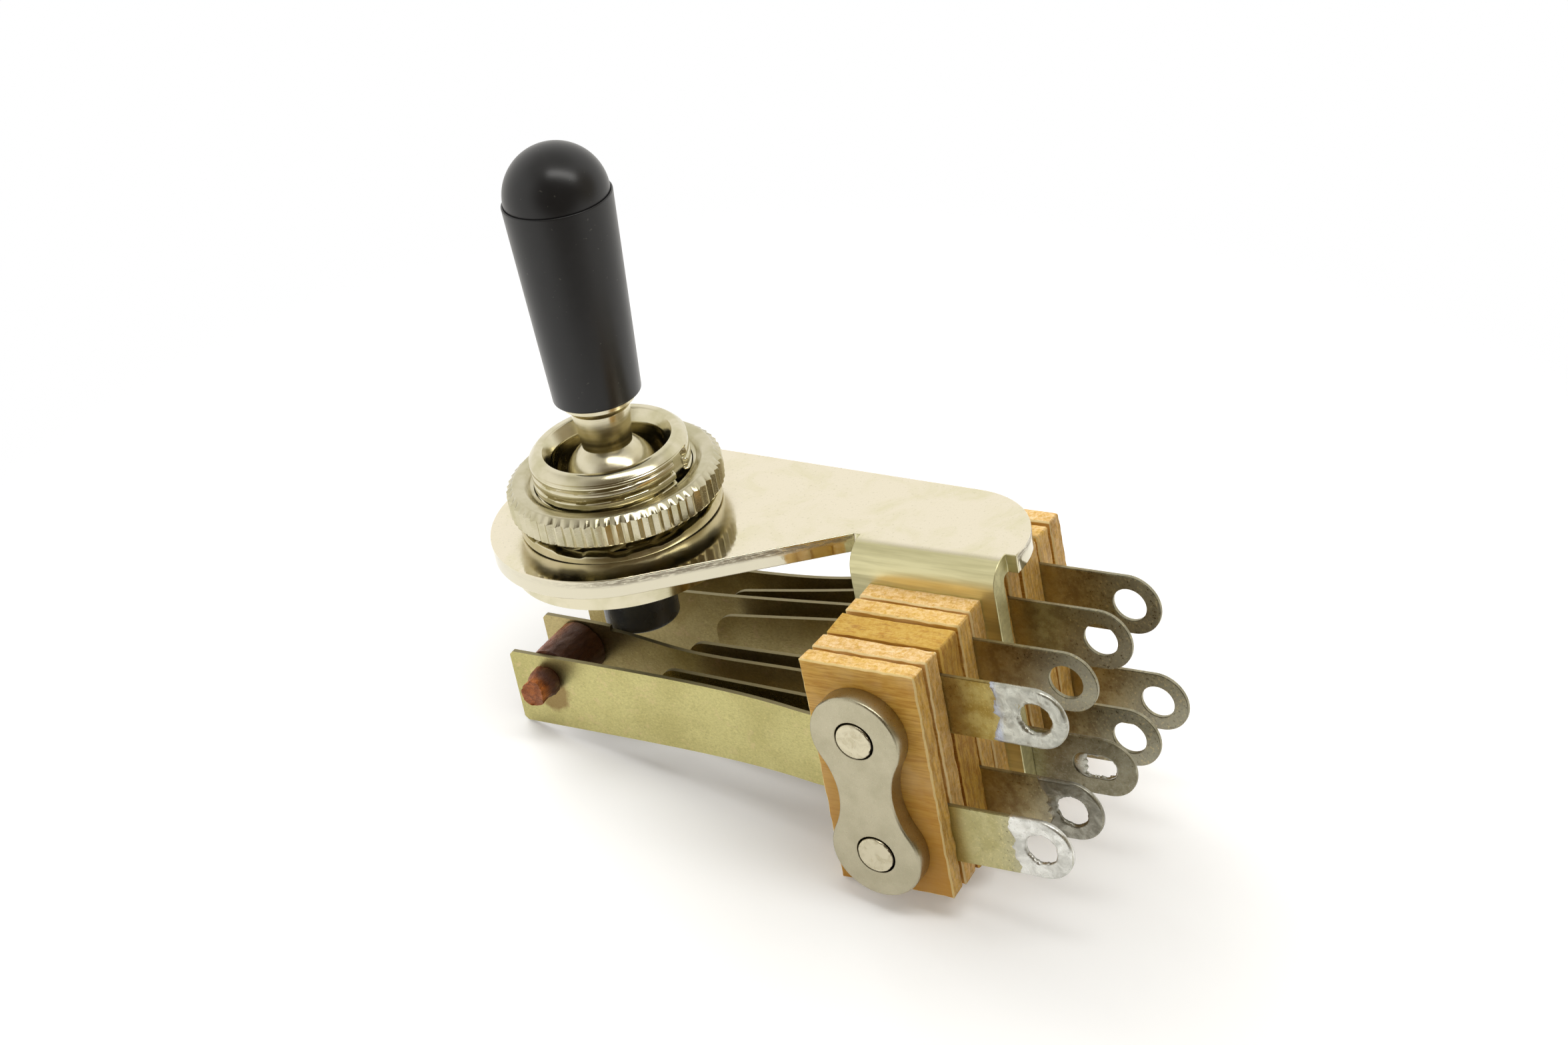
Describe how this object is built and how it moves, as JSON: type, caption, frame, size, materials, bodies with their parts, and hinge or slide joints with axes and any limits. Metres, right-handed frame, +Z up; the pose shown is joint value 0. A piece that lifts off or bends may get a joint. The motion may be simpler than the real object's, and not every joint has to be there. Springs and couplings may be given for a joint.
{
  "type": "guitar pickup selector switch",
  "caption": "Panel-mount lever switch: threaded bushing, plate with folded leg, two riveted leaf-spring stacks, and a lever whose cam opens the contacts",
  "frame": {"origin": "on the bushing's axis, at the plate's top face, which seats against the panel's underside", "axes": "+Z up the bushing to the lever's tip, +X towards the solder tabs, -Y towards the near stack"},
  "size_m": [0.0499, 0.0255, 0.0512],
  "materials": {
    "nickel_plate": "warm nickel plate, glossy on the plate's face and satin on the leg",
    "lever_metal": "turned and plated, with fine turning lines",
    "black_plastic": "moulded black, satin, with a parting line under the dome",
    "cam_plastic": "moulded black, smooth",
    "red_fibre": "turned red-brown fibre",
    "tab_metal": "tarnished, with old solder round its eye",
    "satin_steel": "satin plated",
    "rivet_metal": "satin plated, with dark rings at the heads",
    "sleeve_fibre": "wound paper tube",
    "leaf_metal": "rolled spring metal with fine slanting scratches, tinned at some eyes",
    "contact_metal": "silver, dulled",
    "phenolic": "laminated phenolic paper with mottled cut edges"
  },
  "bodies": {
    "frame": {"frame_bracket": "nickel_plate", "bushing": "nickel_plate", "lock_washer": "nickel_plate", "knurled_nut": "nickel_plate", "ground_lug": "tab_metal", "near_clamp_plate": "satin_steel", "far_clamp_plate": "satin_steel", "upper_rivet": "rivet_metal", "lower_rivet": "rivet_metal", "upper_sleeve": "sleeve_fibre", "lower_sleeve": "sleeve_fibre", "near_leaf_a": "leaf_metal", "near_leaf_b": "leaf_metal", "near_leaf_c": "leaf_metal", "near_leaf_d": "leaf_metal", "far_leaf_a": "leaf_metal", "far_leaf_b": "leaf_metal", "far_leaf_c": "leaf_metal", "far_leaf_d": "leaf_metal", "near_contact_a": "contact_metal", "near_contact_b": "contact_metal", "near_contact_c": "contact_metal", "near_contact_d": "contact_metal", "far_contact_a": "contact_metal", "far_contact_b": "contact_metal", "far_contact_c": "contact_metal", "far_contact_d": "contact_metal", "near_spacer_1": "phenolic", "near_spacer_2": "phenolic", "near_spacer_3": "phenolic", "near_spacer_4": "phenolic", "near_spacer_5": "phenolic", "far_spacer_1": "phenolic", "far_spacer_2": "phenolic", "far_spacer_3": "phenolic", "far_spacer_4": "phenolic", "far_spacer_5": "phenolic"},
    "lever": {"lever": "lever_metal", "lever_tip": "black_plastic", "lever_cam": "cam_plastic"},
    "near_pusher": {"near_pusher": "red_fibre"},
    "far_pusher": {"far_pusher": "red_fibre"}
  },
  "joints": [
    {"name": "lever_tilt", "type": "hinge", "parent": "frame", "child": "lever", "pos_m": [0, 0, 0.0028], "axis": [1, 0, 0], "range_deg": [-11.4, 14.6]},
    {"name": "near_pusher_slide", "type": "slide", "parent": "frame", "child": "near_pusher", "axis": [0, 1, 0], "range_m": [-0.00232, 0.00297], "deforming": ["near_leaf_a", "near_leaf_b", "near_leaf_c", "near_leaf_d"]},
    {"name": "far_pusher_slide", "type": "slide", "parent": "frame", "child": "far_pusher", "axis": [0, 1, 0], "range_m": [-0.00232, 0.00297], "deforming": ["far_leaf_a", "far_leaf_b", "far_leaf_c", "far_leaf_d"]}
  ],
  "couplings": [
    {"joint": "near_pusher_slide", "follows": "lever_tilt", "m_per_rad": 0.0116},
    {"joint": "far_pusher_slide", "follows": "lever_tilt", "m_per_rad": 0.0116}
  ]
}
